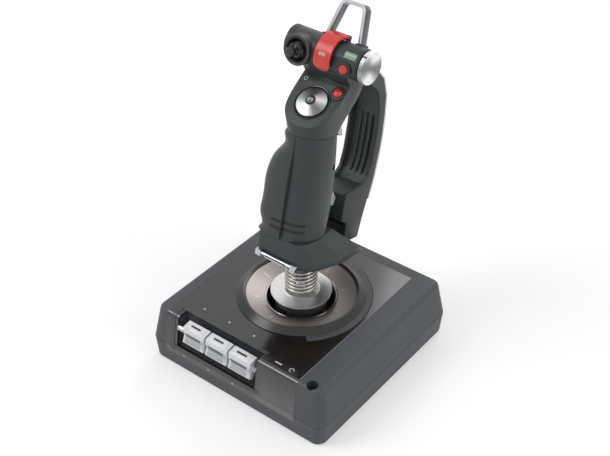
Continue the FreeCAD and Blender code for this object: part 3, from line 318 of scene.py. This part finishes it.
# coloured parts
RED_COVER = glossy_red("red_polycarbonate", "#e03a33", "#d6322c", 0.32)
RED_BUTTON = glossy_red("red_button_acrylic", "#e2382a", "#c9261c", 0.18)
GREEN_WINDOW = green_window()
BOARD = solder_mask()

SLOT_MATERIAL = {
    "shell_plastic": TEXTURED_ABS, "gloss_plate": PIANO_BLACK, "gloss_black": SATIN_BLACK,
    "black_plastic": MATT_BLACK, "grip_plastic": SOFT_TOUCH, "hat_plastic": HAT_BLACK,
    "dish_metal": ANODISED, "brushed_metal": BRUSHED, "silver_paint": SILVER, "chrome": CHROME,
    "spring_steel": SPRING_STEEL, "screw_steel": SCREW_STEEL, "ballast_steel": BALLAST_STEEL,
    "gimbal_metal": DIE_CAST, "brass": BRASS, "red_plastic": RED_COVER, "red_button": RED_BUTTON,
    "green_lens": GREEN_WINDOW, "board": BOARD, "foot_rubber": RUBBER,
}
NODE_MATERIAL = {"spring_collar": SATIN_STEEL}


def finish_nodes():
    """Every CAD node gets the finish of its material slot."""
    for name, solid in NODES.items():
        for place in solid.material_slots:
            slot_name = place.material.name.split(".")[0] if place.material else ""
            place.material = NODE_MATERIAL.get(name) or SLOT_MATERIAL.get(slot_name, MATT_BLACK)


finish_nodes()


# ---------------------------------------------------------------- shared shapes, drawn in millimetres
def joint_axis(name):
    return Vector(next(joint["axis"] for joint in frame["joints"] if joint["name"] == name))


FORWARD = joint_axis("launch_press")
ACROSS = Vector((1, 0, 0))
UPWARD = ACROSS.cross(FORWARD)
HANDLE_HEIGHT = 95
# the leaning frame of the handle: x to the right, y forward, z up along the grip
HANDLE = Matrix.Translation((0, 0, HANDLE_HEIGHT)) @ Matrix((ACROSS, FORWARD, UPWARD)).transposed().to_4x4()
UPRIGHT = Matrix.Identity(4)
ALONG_X = Matrix.Rotation(math.pi / 2, 4, "Y")


def at(x, y, z, turned=UPRIGHT):
    return Matrix.Translation((x, y, z)) @ turned


def facing(place, lean):
    """In the handle: +Z points towards the user and leans up by `lean` degrees."""
    return HANDLE @ at(*place) @ Matrix.Rotation(math.radians(90 - lean), 4, "X")


def piece(mesh, name, body, finish, place=UPRIGHT, replaced=(), sharp=35):
    """Turns a finished mesh in millimetres into a piece that rides on a body."""
    mesh.transform(Matrix.Scale(MM, 4) @ place)
    bmesh.ops.remove_doubles(mesh, verts=mesh.verts, dist=0.002 * MM)
    bmesh.ops.recalc_face_normals(mesh, faces=mesh.faces)
    data = bpy.data.meshes.new(name)
    mesh.to_mesh(data)
    mesh.free()
    data.materials.append(finish)
    data.shade_smooth()
    data.set_sharp_from_angle(angle=math.radians(sharp))
    made = bpy.data.objects.new(name, data)
    bpy.context.scene.collection.objects.link(made)
    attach(made, body)
    if replaced:
        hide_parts(*replaced)
    return made


def lathe(points, steps=64, angle=360):
    """A profile of (radius, height) corners turned about Z."""
    mesh = bmesh.new()
    corners = [mesh.verts.new((radius, 0, height)) for radius, height in points]
    edges = [mesh.edges.new(pair) for pair in zip(corners, corners[1:])]
    bmesh.ops.spin(mesh, geom=corners + edges, cent=(0, 0, 0), axis=(0, 0, 1), angle=math.radians(angle),
                   steps=steps, use_merge=angle == 360)
    return mesh


def soften(mesh, width, segments=3, above=30):
    """Rounds every edge sharper than `above` degrees."""
    mesh.normal_update()
    limit = math.radians(above)
    sharp = [edge for edge in mesh.edges if edge.is_manifold and edge.calc_face_angle(0) > limit]
    bmesh.ops.bevel(mesh, geom=sharp, offset=width, offset_type="OFFSET", segments=segments, profile=0.5,
                    affect="EDGES", clamp_overlap=True, material=-1)
    return mesh


def bar(length, depth, height, rounding, segments=3):
    """A block centred on the origin with rounded edges."""
    mesh = bmesh.new()
    bmesh.ops.create_cube(mesh, size=1, matrix=Matrix.Diagonal((length, depth, height, 1)))
    return soften(mesh, rounding, segments)


def slab(outline, thickness, rounding):
    """A flat plate from a YZ outline, centred on X, with rounded edges."""
    mesh = bmesh.new()
    face = mesh.faces.new([mesh.verts.new((-thickness / 2, y, z)) for y, z in outline])
    grown = bmesh.ops.extrude_face_region(mesh, geom=[face])
    moved = [part for part in grown["geom"] if isinstance(part, bmesh.types.BMVert)]
    bmesh.ops.translate(mesh, verts=moved, vec=(thickness, 0, 0))
    bmesh.ops.recalc_face_normals(mesh, faces=mesh.faces)
    return soften(mesh, rounding)


def copy_of(*nodes):
    """The joined mesh of CAD nodes, in millimetres, its doubled corners merged."""
    mesh = bmesh.new()
    for name in nodes:
        mesh.from_mesh(NODES[name].data)
    mesh.transform(Matrix.Scale(1 / MM, 4))
    bmesh.ops.remove_doubles(mesh, verts=mesh.verts, dist=0.004)
    return mesh


def refined(node, body, finish, width, above=32):
    """A CAD node's own shape with its moulded edges rounded."""
    mesh = copy_of(node)
    bmesh.ops.dissolve_limit(mesh, angle_limit=math.radians(0.5), verts=mesh.verts, edges=mesh.edges)
    soften(mesh, width, 2, above)
    return piece(mesh, f"{node}_moulded", body, finish, replaced=(node,), sharp=28)


def within(**limits):
    """Planes of (point, outward direction) for limits of (low, high) along x, y or z; None is open."""
    planes = []
    for axis, (low, high) in limits.items():
        outward = Vector([float(letter == axis) for letter in "xyz"])
        if high is not None:
            planes.append((outward * high, outward))
        if low is not None:
            planes.append((outward * low, -outward))
    return planes


def strip(nodes, name, body, finish, planes, lift, place=UPRIGHT):
    """A thin band that stands `lift` proud of the surface of CAD nodes, inside the planes."""
    mesh = copy_of(*nodes)
    mesh.normal_update()
    for corner in mesh.verts:
        corner.co += corner.normal * lift
    for point, outward in planes:
        normal = place.to_3x3() @ outward
        bmesh.ops.bisect_plane(mesh, geom=mesh.verts[:] + mesh.edges[:] + mesh.faces[:], dist=0.0001,
                               plane_co=place @ point, plane_no=normal, clear_outer=True)
    bmesh.ops.holes_fill(mesh, edges=mesh.edges)
    return piece(mesh, name, body, finish)


# ---------------------------------------------------------------- base
BASE_TOP = 51.3
PLATE_RIGHT = 60.0
LINE_WHITE = plain("white_pad_print", "#c9cbcc", 0.5)
# near-black strips laid in grooves, slots, seams, shut lines and vents stand in for the shade inside them:
# painted shade; the knob's pointer uses it as its own black
GROOVE = plain("shadowed_groove", "#0c0d0e", 0.7)
RIM_GREY = plain("polished_rim_abs", "#3c3f42", 0.26)
EDGE_GREY = plain("bare_plate_edge", "#85888b", 0.35)


# the marks above and below the toggles, and the run of the shoulder round the ring
DOT_PLACES = (-47.8, -22.1, 2.9)
SHOULDER_START = math.radians(-48)
SHOULDER_TURN = 118
BAY_LENGTH = (-62, 24.5)


def printed_marks():
    """Pad-printed dots, a bar and an open ring, each a raised film of paint."""
    for index, across in enumerate(DOT_PLACES):
        dot = lathe(((0, 0), (0.9, 0), (0.9, 0.12), (0, 0.16)), 20)
        piece(dot, f"top_dot_{index}", "base", LINE_WHITE, at(across, -62.7, BASE_TOP))
        dot = lathe(((0, 0), (0.8, 0), (0.8, 0.12), (0, 0.16)), 20)
        piece(dot, f"front_dot_{index}", "base", LINE_WHITE,
              at(across - 2.9, -86.75, 17.0, Matrix.Rotation(math.radians(94), 4, "X")))
    piece(bar(6.4, 1.3, 0.3, 0.1), "print_bar", "base", LINE_WHITE, at(36.6, -74.5, BASE_TOP))
    ring = lathe(((1.5, 0), (2.1, 0), (2.1, 0.15), (1.5, 0.15), (1.5, 0)), 32, 290)
    piece(ring, "print_ring", "base", LINE_WHITE, at(49, -74.5, BASE_TOP))


def base_details():
    """The plate's bare edge, the shoulder round the ring, the parting line and the moulded rim of the bay."""
    piece(bar(0.5, 150, 0.3, 0.1), "plate_edge_line", "base", EDGE_GREY, at(PLATE_RIGHT - 0.2, -4, BASE_TOP))
    start = at(0, 0, BASE_TOP, Matrix.Rotation(SHOULDER_START, 4, "Z"))
    shoulder = lathe(((52.5, 0), (57.2, 0), (57.2, 0.25), (56.6, 0.7), (52.5, 0.7), (52.5, 0)),
                     60, SHOULDER_TURN)
    piece(shoulder, "ring_shoulder", "base", TEXTURED_ABS, start)
    groove = lathe(((57.2, 0), (57.9, 0), (57.9, 0.08), (57.2, 0.08), (57.2, 0)), 60, SHOULDER_TURN)
    piece(groove, "ring_groove", "base", GROOVE, start)
    strip(["base_pan"], "parting_line", "base", GROOVE, within(z=(19.15, 19.6)), 0.06)
    for name, limits, lift in (("left", within(x=(-65.5, -61), y=(None, -71), z=(17, None)), 0.35),
                               ("back", within(x=BAY_LENGTH, y=(-73.4, -70)), 0.35),
                               ("low", within(x=BAY_LENGTH, z=(21.6, 23.9)), 0.3)):
        strip(["inset_plate"], f"bay_rim_{name}", "base", RIM_GREY, limits, lift)


DISH_SLOPE = math.radians(15.2)
TICK_RADIUS = 35.5


def dish_details():
    """Bright engraved circle and tick marks on the spun disc."""
    circle = lathe(((29.2, 0), (30.0, 0), (30.0, 0.1), (29.2, 0.1), (29.2, 0)), 96)
    piece(circle, "dish_circle", "base", CHROME, at(0, 0, BASE_TOP - 1.5))
    for index, angle in enumerate(range(0, 360, 45)):
        tick = bar(5.2 if index % 2 else 8.4, 0.5, 0.16, 0.05)
        turned = at(0, 0, BASE_TOP, Matrix.Rotation(math.radians(angle), 4, "Z"))
        sloped = at(TICK_RADIUS, 0, 0.14, Matrix.Rotation(-DISH_SLOPE, 4, "Y"))
        piece(tick, f"dish_tick_{index}", "base", CHROME, turned @ sloped)


def wound_spring():
    """The centring spring: a copy of the CAD node's wire on a mesh of its own, riding on the stick."""
    wire = piece(copy_of("centring_spring"), "centring_spring_wound", "stick", SPRING_STEEL,
                 replaced=("centring_spring",))
    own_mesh(wire)


# the toggles' turning axis (forward, up), and the ribs that cover each one's hollow middle
TOGGLE_AXIS = (-82.0, 40.5)
TOGGLE_TOP_TILT = math.radians(7.1)
RIBS = 7
RIBS_TOP = 3.6
RIBS_RUN = 8.0
FIN = ((-5.9, 5.2), (-6.6, 3.0), (-5.7, 0.2), (-7.0, -5.0), (-6.2, -6.6), (-3.5, -3.0), (-3.5, 5.0))
RIBBED_GREY = plain("ribbed_grey_nylon", "#6c7074", 0.4)


def rib_depth(share):
    """How far forward a rib lies: in towards the hollow, then out again to the lip."""
    waist = 0.45
    inwards = 0.75 * min(share / waist, 1)
    outwards = 1.9 * max(share - waist, 0) / (1 - waist)
    return -5.35 + inwards - outwards


def toggle(index, node, body):
    """A silver rocker: framed slot above, ribbed hollow in the middle and a bright lip below."""
    low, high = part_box(node)
    middle = at((low.x + high.x) / 2 / MM, *TOGGLE_AXIS)
    refined(node, body, SILVER, 0.5)
    tilt = Matrix.Rotation(TOGGLE_TOP_TILT, 4, "X")
    frame_place = middle @ at(-0.6, -1.0, 9.6, tilt)
    piece(bar(17.6, 6.8, 1.0, 0.45), f"toggle_frame_{index}", body, SILVER, frame_place)
    piece(bar(9.6, 1.7, 0.5, 0.2), f"toggle_slot_{index}", body, GROOVE, middle @ at(-0.6, -1.2, 10.0, tilt))
    for count in range(RIBS):
        share = count / (RIBS - 1)
        rib_place = middle @ at(-0.8, rib_depth(share), RIBS_TOP - RIBS_RUN * share)
        piece(bar(16.5, 0.7, 0.7, 0.3), f"toggle_rib_{index}_{count}", body, RIBBED_GREY, rib_place)
    for count, across in enumerate((8.3, 9.9)):
        piece(slab(FIN, 0.8, 0.25), f"toggle_fin_{index}_{count}", body, SILVER, middle @ at(across, 0, 0))


# ---------------------------------------------------------------- handle
VENT_LEVELS = (33.4, 27.8)
VENT_HEIGHT = 2.1
GUARD_RIB = ((58.6, 52), (60.8, 64), (61.0, 88), (60.0, 102), (62.0, 103), (63.6, 88), (63.6, 66), (61.4, 52))


def grip_details():
    """The seam down the grip and the two curved vents across it."""
    # the seam and the vents are near-black strips of painted shade lying on the shells
    strip(["grip_left"], "grip_seam", "handle", GROOVE, within(x=(-0.4, -0.05), y=(None, -12), z=(24, None)),
          0.05, HANDLE)
    for shell, (index, level) in itertools.product(("grip_left", "grip_right"), enumerate(VENT_LEVELS)):
        limits = within(x=(-10, 15.5), y=(None, -2), z=(level, level + VENT_HEIGHT))
        strip([shell], f"{shell}_vent_{index}", "handle", GROOVE, limits, 0.14, HANDLE)


def guard_details():
    """Three ribs down the inside of the guard, which stop at the ledge."""
    for index, across in enumerate((-4.5, 0.5, 5.5)):
        rib = slab(GUARD_RIB, 1.3, 0.3)
        piece(rib, f"guard_rib_{index}", "handle", SOFT_TOUCH, HANDLE @ at(across, 0, 0))


# ---------------------------------------------------------------- head
BARREL = (-1.6, 161.0)
BARREL_RADIUS = 12.3
HAT_AT = (0.0, -18.5, 127.5)
HAT_LEAN = 45
LEFT_HAT_AT = (-21.6, -16.0, 160.0)
COVER_X = 1.5
KNOB_X = 29.3
# the last vector given to each is the direction of its painted highlight fans
KNOB_METAL = turned_metal("faced_knob_aluminium", "#b6b8ba", HANDLE @ Vector((KNOB_X, *BARREL)), ACROSS,
                          Vector((0, 0.45, 0.89)))
HAT_METAL = turned_metal("faced_hat_aluminium", "#b2b4b6", HANDLE @ Vector(HAT_AT),
                         facing((0, 0, 0), HAT_LEAN).to_3x3() @ Vector((0, 0, 1)), Vector((0.5, 0.6, 0.62)))


def hoop(inner, outer, height, steps=64):
    """A flat ring standing on z = 0."""
    return lathe(((inner, 0), (outer, 0), (outer, height), (inner, height), (inner, 0)), steps)


def head_details():
    """Rims, shut lines and printed marks on the head."""
    rim = hoop(11.4, BARREL_RADIUS + 0.15, 1.1)
    piece(rim, "barrel_rim", "handle", RIM_GREY, HANDLE @ at(-35.15, *BARREL, ALONG_X))
    for index, across in enumerate((-31.5, 28.0)):
        line = hoop(12.0, BARREL_RADIUS + 0.06, 0.6)
        piece(line, f"barrel_line_{index}", "handle", GROOVE, HANDLE @ at(across, *BARREL, ALONG_X))
    piece(bar(15, 1.0, 0.8, 0.3), "panel_groove", "handle", GROOVE, facing((11.5, -3.2, 142.9), HAT_LEAN))
    ring = hoop(1.1, 1.7, 0.2, 32)
    piece(ring, "panel_ring_mark", "handle", LINE_WHITE, facing((-15.9, -7.2, 138.8), HAT_LEAN))
    square = bar(2.2, 2.2, 0.3, 0.1)
    piece(square, "panel_square_mark", "handle", RIM_GREY, facing((15.8, -15.1, 130.9), HAT_LEAN))
    seat = lathe(((13.0, -0.6), (14.4, -0.6), (14.4, 0.25), (13.9, 0.5), (13.2, 0.3), (13.0, -0.6)))
    piece(seat, "hat_bezel", "handle", SATIN_BLACK, facing(HAT_AT, HAT_LEAN))


COVER_WIDTH = 14.0
COVER_RADIUS = BARREL_RADIUS + 4.0
# angles up from the front of the barrel: the hinge, the free end and the printed marks
COVER_HINGE = 84
COVER_END = 216
COVER_MARKS = 168
COVER_ROUNDING = 6.0
COVER_FLARE = 3.0
BETWEEN_LUGS = 13.0
HINGE_AXIS = (3, 14.3)


def red_cover():
    """The hinged cover: a band curved over the barrel, rounded at its free end and flared at its hinge."""
    mesh = bmesh.new()
    bmesh.ops.create_grid(mesh, x_segments=14, y_segments=44, size=0.5)
    sweep = math.radians(COVER_END - COVER_HINGE)
    for corner in mesh.verts:
        share = corner.co.y + 0.5
        side = corner.co.x * 2
        angle = math.radians(COVER_HINGE) + sweep * share
        left = COVER_RADIUS * sweep * (1 - share)
        rounded = math.sqrt(max(1 - max(1 - left / COVER_ROUNDING, 0) ** 2, 0.0))
        flare = COVER_FLARE * max(1 - share / 0.3, 0) ** 2 if side > 0 else 0
        across = side * (COVER_WIDTH / 2 * rounded + flare)
        corner.co = (across, COVER_RADIUS * math.cos(angle), COVER_RADIUS * math.sin(angle))
    bmesh.ops.remove_doubles(mesh, verts=mesh.verts, dist=0.02)
    bmesh.ops.recalc_face_normals(mesh, faces=mesh.faces)
    bmesh.ops.solidify(mesh, geom=mesh.faces[:], thickness=1.5)
    bmesh.ops.recalc_face_normals(mesh, faces=mesh.faces)
    soften(mesh, 0.3, 2, 50)
    place = HANDLE @ at(COVER_X, *BARREL)
    piece(mesh, "cover_shell", "cover", RED_COVER, place, replaced=("safety_cover",))
    knuckle = hoop(1.15, 2.1, BETWEEN_LUGS, 32)
    piece(knuckle, "cover_knuckle", "cover", RED_COVER, place @ at(-BETWEEN_LUGS / 2, *HINGE_AXIS, ALONG_X))
    radial = Matrix.Rotation(math.radians(COVER_MARKS - 90), 4, "X")
    for index, across in enumerate((-2.2, -0.3, 1.6)):
        mark = bar(1.2, 2.6, 0.25, 0.08)
        mark_place = place @ radial @ at(across, 0, COVER_RADIUS + 0.04)
        piece(mark, f"cover_mark_{index}", "cover", LINE_WHITE, mark_place)


POINTER_ANGLE = math.radians(42)
KNOB_PROFILE = ((0, -7), (3, -7), (3, 0.5), (11.6, 0.5), (12.4, 1.2), (12.5, 2.0), (12.5, 4.3), (12.2, 4.9),
                (11.5, 5.4), (10.6, 5.5), (0, 4.0))
HAT_PROFILE = ((0, -6.8), (3, -6.8), (3, -1.0), (10.6, -0.5), (11.7, 0.0), (12.1, 0.5), (11.9, 0.9),
               (11.2, 1.2), (3.6, 3.3), (2.9, 3.6), (2.8, 4.6), (2.2, 5.4), (1.2, 5.9), (0, 6.1))


def knob():
    """The brushed mode knob: a dished face inside a chamfered rim, with a black pointer."""
    turned = lathe(KNOB_PROFILE, 96)
    place = HANDLE @ at(KNOB_X, *BARREL, ALONG_X)
    piece(turned, "knob_turned", "knob", KNOB_METAL, place, replaced=("mode_knob",), sharp=20)
    pointer = bar(3.4, 1.2, 0.9, 0.2)
    around = HANDLE @ at(KNOB_X + 2.5, *BARREL, Matrix.Rotation(POINTER_ANGLE, 4, "X"))
    piece(pointer, "knob_pointer", "knob", GROOVE, around @ at(0, 0, 12.25))


def right_hat():
    """The large silver hat: a shallow turned cone with a small nub."""
    place = facing(HAT_AT, HAT_LEAN)
    turned = lathe(HAT_PROFILE, 96)
    piece(turned, "hat_cone", "right_hat", HAT_METAL, place, replaced=("right_hat",), sharp=40)
    ring = lathe(((2.7, 3.4), (3.9, 3.1), (4.0, 3.4), (2.9, 3.9), (2.7, 3.4)), 48)
    piece(ring, "hat_nub_ring", "right_hat", GROOVE, place)


def left_hat():
    """The black four-way hat: a ringed well and four rounded lobes round its waisted stem."""
    place = facing(LEFT_HAT_AT, 0)
    rim = lathe(((9.6, 0.5), (10.4, 1.1), (11.3, 1.1), (11.6, 0.6), (11.6, -0.2), (9.6, -0.2), (9.6, 0.5)))
    piece(rim, "left_hat_rim", "handle", RIM_GREY, place)
    for index in range(4):
        lobe = bar(4.6, 3.6, 3.4, 1.2)
        turned = Matrix.Rotation(math.radians(45 + 90 * index), 4, "Z")
        piece(lobe, f"left_hat_lobe_{index}", "left_hat", HAT_BLACK, place @ turned @ at(0, 4.0, 1.8))


printed_marks()
base_details()
dish_details()
wound_spring()
for count, side in enumerate(("left", "middle", "right")):
    toggle(count, f"toggle_{side}", f"toggle_{count + 1}")
grip_details()
guard_details()
head_details()
red_cover()
knob()
right_hat()
left_hat()
for moulded, width in (("head_shell", 1.0), ("hand_guard", 0.8), ("handle_foot", 1.0)):
    refined(moulded, "handle", SOFT_TOUCH, width)
refined("loop_guard", "handle", LOOP_CHROME, 0.4)
refined("trigger", "trigger", CHROME, 0.5)
refined("pinkie_switch", "pinkie", SILVER, 0.6)
refined("lock_blocks", "handle", CHROME, 0.5)


# ---------------------------------------------------------------- floor, light and camera
CAMERA_AT = Vector((0.4306, -0.5551, 0.6490))
CAMERA_AZIMUTH = math.radians(37.58)
CAMERA_ELEVATION = math.radians(37.15)
CAMERA_ROLL = math.radians(0.32)


def studio_camera():
    data = bpy.data.cameras.new("camera")
    data.lens = 67.51
    data.sensor_width = 36
    camera = bpy.data.objects.new("camera", data)
    bpy.context.scene.collection.objects.link(camera)
    turned = Matrix.Rotation(CAMERA_AZIMUTH, 4, "Z") @ Matrix.Rotation(math.pi / 2 - CAMERA_ELEVATION, 4, "X")
    camera.matrix_world = Matrix.Translation(CAMERA_AT) @ turned @ Matrix.Rotation(CAMERA_ROLL, 4, "Z")
    bpy.context.scene.camera = camera


def lamp(name, at, target, width, power):
    data = bpy.data.lights.new(name, "AREA")
    data.shape = "DISK"
    data.size = width
    data.energy = power
    made = bpy.data.objects.new(name, data)
    bpy.context.scene.collection.objects.link(made)
    direction = Vector(target) - Vector(at)
    made.matrix_world = Matrix.Translation(at) @ direction.to_track_quat("-Z", "Y").to_matrix().to_4x4()


def seen_directly(tree):
    """1 for camera, mirror and glass rays, which see the plain white studio."""
    path = add(tree, "ShaderNodeLightPath").outputs
    seen = path["Is Camera Ray"]
    for other in ("Is Glossy Ray", "Is Transmission Ray"):
        seen = add(tree, "ShaderNodeMath", {0: seen, 1: path[other]}, operation="MAXIMUM").outputs[0]
    return seen


def studio():
    world = bpy.data.worlds.new("studio")
    bpy.context.scene.world = world
    world.use_nodes = True
    tree = world.node_tree
    tree.nodes.clear()
    soft = add(tree, "ShaderNodeBackground", {"Color": (1, 1, 1, 1), "Strength": 0.5})
    white = add(tree, "ShaderNodeBackground", {"Color": (1, 1, 1, 1), "Strength": 1.0})
    both = add(tree, "ShaderNodeMixShader", {0: seen_directly(tree), 1: soft.outputs[0], 2: white.outputs[0]})
    add(tree, "ShaderNodeOutputWorld", {"Surface": both.outputs[0]})

    mesh = bmesh.new()
    bmesh.ops.create_grid(mesh, x_segments=1, y_segments=1, size=4)
    data = bpy.data.meshes.new("floor")
    mesh.to_mesh(data)
    mesh.free()
    floor = bpy.data.objects.new("floor", data)
    bpy.context.scene.collection.objects.link(floor)
    paper = bpy.data.materials.new("white_paper_sweep")
    paper.use_nodes = True
    tree = paper.node_tree
    tree.nodes.clear()
    matt = add(tree, "ShaderNodeBsdfDiffuse", {"Color": (0.82, 0.82, 0.82, 1)})
    glow = add(tree, "ShaderNodeEmission", {"Color": (1, 1, 1, 1), "Strength": 0.36})
    lit = add(tree, "ShaderNodeAddShader", {0: matt.outputs[0], 1: glow.outputs[0]})
    both = add(tree, "ShaderNodeMixShader", {0: seen_directly(tree), 1: matt.outputs[0], 2: lit.outputs[0]})
    add(tree, "ShaderNodeOutputMaterial", {"Surface": both.outputs[0]})
    data.materials.append(paper)

    lamp("key", (-0.9, -0.9, 1.4), (0, 0, 0.1), 0.9, 9)
    lamp("side", (1.4, 0.1, 1.0), (0, 0, 0.1), 0.8, 4)
    lamp("back", (-0.3, 1.3, 1.2), (0, 0, 0.15), 0.8, 4)
    bpy.context.scene.view_settings.view_transform = "Standard"


studio_camera()
studio()
